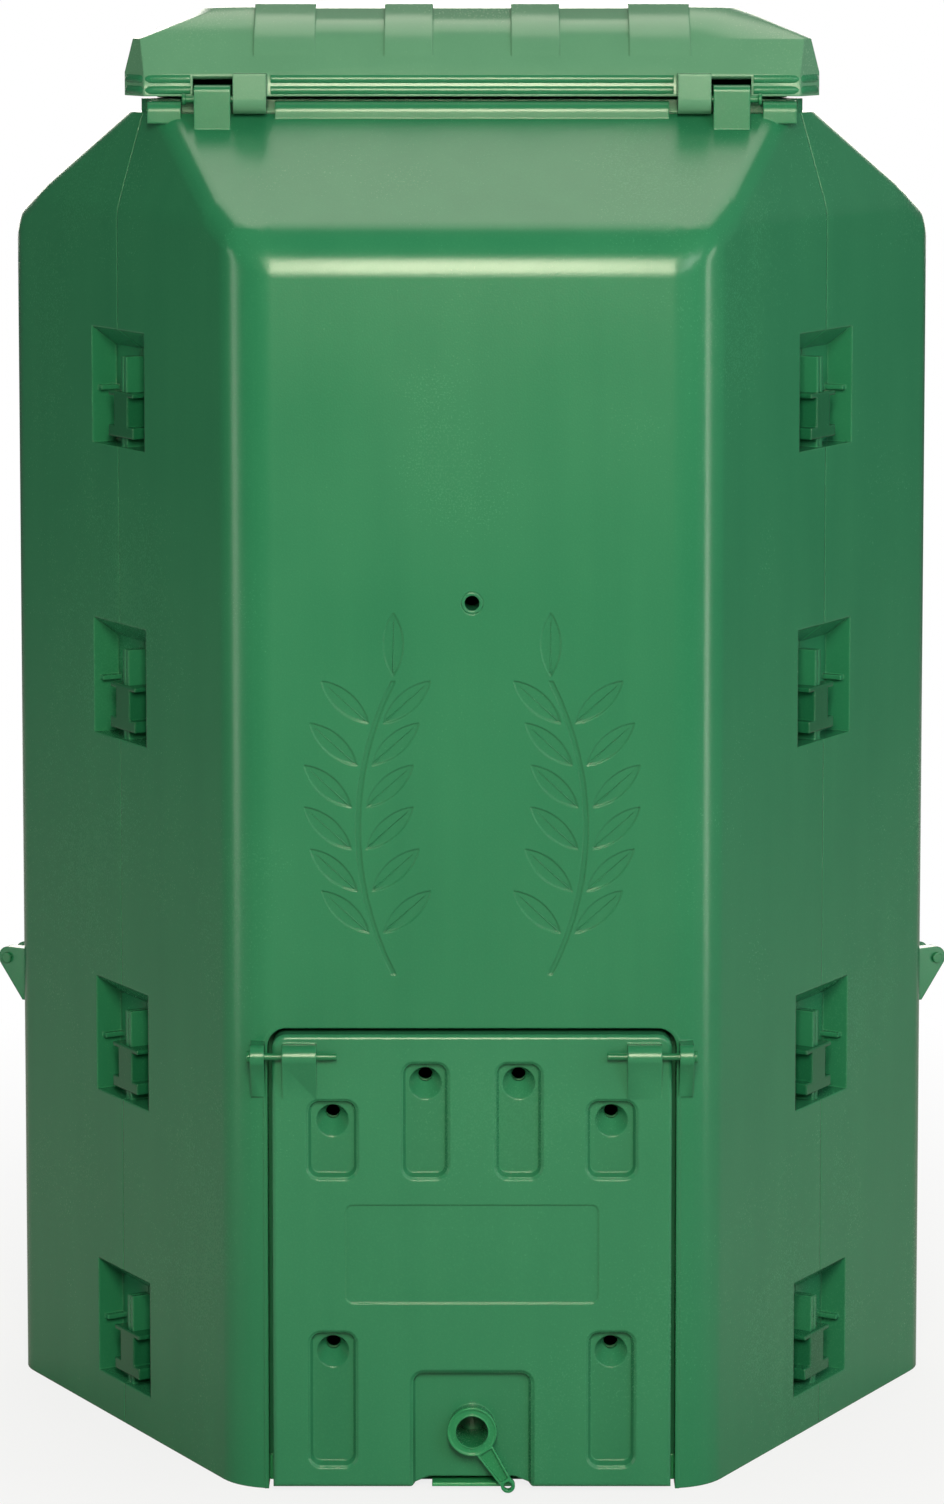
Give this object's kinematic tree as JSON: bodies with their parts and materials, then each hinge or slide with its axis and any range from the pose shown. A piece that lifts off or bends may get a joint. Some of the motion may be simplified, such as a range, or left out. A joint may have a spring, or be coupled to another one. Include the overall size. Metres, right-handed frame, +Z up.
{
  "type": "insulated compost bin",
  "caption": "Tall six-sided double-walled compost bin with clipped panels, bottom doors with turning latches and a hinged three-sided lid.",
  "frame": {"origin": "on the ground at the middle of the three panels", "axes": "+Z up, front panel facing -Y, +X to the right as the front is seen"},
  "size_m": [0.8746, 0.7574, 1.2575],
  "materials": {
    "wall_green": "satin moulded, fine grain",
    "liner_green": "satin moulded, fine grain",
    "door_green": "satin moulded, fine grain",
    "lid_green": "satin moulded, fine grain",
    "latch_green": "satin moulded, fine grain",
    "clip_green": "satin moulded, fine grain",
    "sill_green": "satin moulded, fine grain",
    "pin_green": "satin moulded, fine grain"
  },
  "bodies": {
    "body": {"outer_wall_front": "wall_green", "outer_wall_rear_left": "wall_green", "outer_wall_rear_right": "wall_green", "inner_liner_front": "liner_green", "inner_liner_rear_left": "liner_green", "inner_liner_rear_right": "liner_green", "liner_hood_front": "liner_green", "liner_hood_rear_left": "liner_green", "liner_hood_rear_right": "liner_green", "door_pins_front": "pin_green", "door_pins_rear_left": "pin_green", "door_pins_rear_right": "pin_green", "seam_clips_front": "clip_green", "seam_clips_rear_left": "clip_green", "seam_clips_rear_right": "clip_green", "probe_sleeve_front": "wall_green", "probe_sleeve_rear_left": "wall_green", "probe_sleeve_rear_right": "wall_green", "door_sill_front": "sill_green", "door_sill_rear_left": "sill_green", "door_sill_rear_right": "sill_green", "lid_pins": "pin_green"},
    "lid": {"lid_shell": "lid_green", "lid_liner": "liner_green", "lid_lip": "liner_green"},
    "door_front": {"door_shell_front": "door_green", "door_cover_front": "liner_green"},
    "latch_front": {"latch_lever_front": "latch_green", "latch_cam_front": "latch_green"},
    "door_rear_left": {"door_shell_rear_left": "door_green", "door_cover_rear_left": "liner_green"},
    "latch_rear_left": {"latch_lever_rear_left": "latch_green", "latch_cam_rear_left": "latch_green"},
    "door_rear_right": {"door_shell_rear_right": "door_green", "door_cover_rear_right": "liner_green"},
    "latch_rear_right": {"latch_lever_rear_right": "latch_green", "latch_cam_rear_right": "latch_green"}
  },
  "joints": [
    {"name": "lid_hinge", "type": "hinge", "parent": "body", "child": "lid", "pos_m": [0, -0.207, 1.177], "axis": [1, 0, 0], "range_deg": [0, 105]},
    {"name": "door_front_hinge", "type": "hinge", "parent": "body", "child": "door_front", "pos_m": [0, -0.38695, 0.378], "axis": [-1, 0, 0], "range_deg": [0, 105]},
    {"name": "latch_front_turn", "type": "hinge", "parent": "door_front", "child": "latch_front", "pos_m": [0, -0.38095, 0.054], "axis": [0, -1, 0], "range_deg": [0, 90]},
    {"name": "door_rear_left_hinge", "type": "hinge", "parent": "body", "child": "door_rear_left", "pos_m": [-0.33511, 0.19347, 0.378], "axis": [0.5, 0.866, 0], "range_deg": [0, 105]},
    {"name": "latch_rear_left_turn", "type": "hinge", "parent": "door_rear_left", "child": "latch_rear_left", "pos_m": [-0.32991, 0.19047, 0.054], "axis": [-0.866, 0.5, 0], "range_deg": [0, 90]},
    {"name": "door_rear_right_hinge", "type": "hinge", "parent": "body", "child": "door_rear_right", "pos_m": [0.33511, 0.19347, 0.378], "axis": [0.5, -0.866, 0], "range_deg": [0, 105]},
    {"name": "latch_rear_right_turn", "type": "hinge", "parent": "door_rear_right", "child": "latch_rear_right", "pos_m": [0.32991, 0.19047, 0.054], "axis": [0.866, 0.5, 0], "range_deg": [0, 90]}
  ]
}
